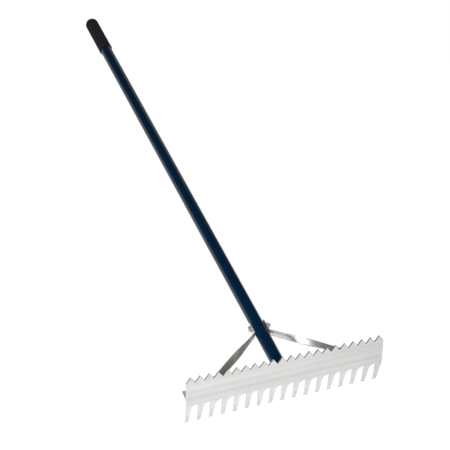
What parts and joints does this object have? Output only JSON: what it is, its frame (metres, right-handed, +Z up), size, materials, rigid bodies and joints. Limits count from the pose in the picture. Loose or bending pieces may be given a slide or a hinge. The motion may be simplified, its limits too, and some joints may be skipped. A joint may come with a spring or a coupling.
{
  "type": "multi purpose rake",
  "caption": "Long-handled garden rake: metal head with a saw edge above and curled tines below, round coated handle with a domed grip, and two twisted braces.",
  "frame": {"origin": "on the floor under the middle of the whole rake, which lies on its tine tips and the end of its grip", "axes": "+X along the head to the user's right when the blade is seen from its front, +Y from the head along the handle to the grip, +Z up"},
  "size_m": [0.4572, 1.5256, 0.1297],
  "materials": {
    "head_aluminium": "satin",
    "handle_coat": "satin",
    "grip_vinyl": "matte",
    "brace_aluminium": "satin",
    "fastener_zinc": "satin",
    "plug_wood": "matte"
  },
  "bodies": {
    "root": {"rake_head": "head_aluminium", "handle_tube": "handle_coat", "handle_plug": "plug_wood", "handle_grip": "grip_vinyl", "cross_spacer": "fastener_zinc", "brace_left": "brace_aluminium", "brace_right": "brace_aluminium", "cross_bolt": "fastener_zinc", "cross_head_washer": "fastener_zinc", "cross_nut_washer": "fastener_zinc", "cross_nut": "fastener_zinc", "handle_bolt": "fastener_zinc", "handle_nut_washer": "fastener_zinc", "handle_nut": "fastener_zinc", "foot_left_bolt": "fastener_zinc", "foot_left_nut_washer": "fastener_zinc", "foot_left_nut": "fastener_zinc", "foot_right_bolt": "fastener_zinc", "foot_right_nut_washer": "fastener_zinc", "foot_right_nut": "fastener_zinc"}
  },
  "joints": []
}
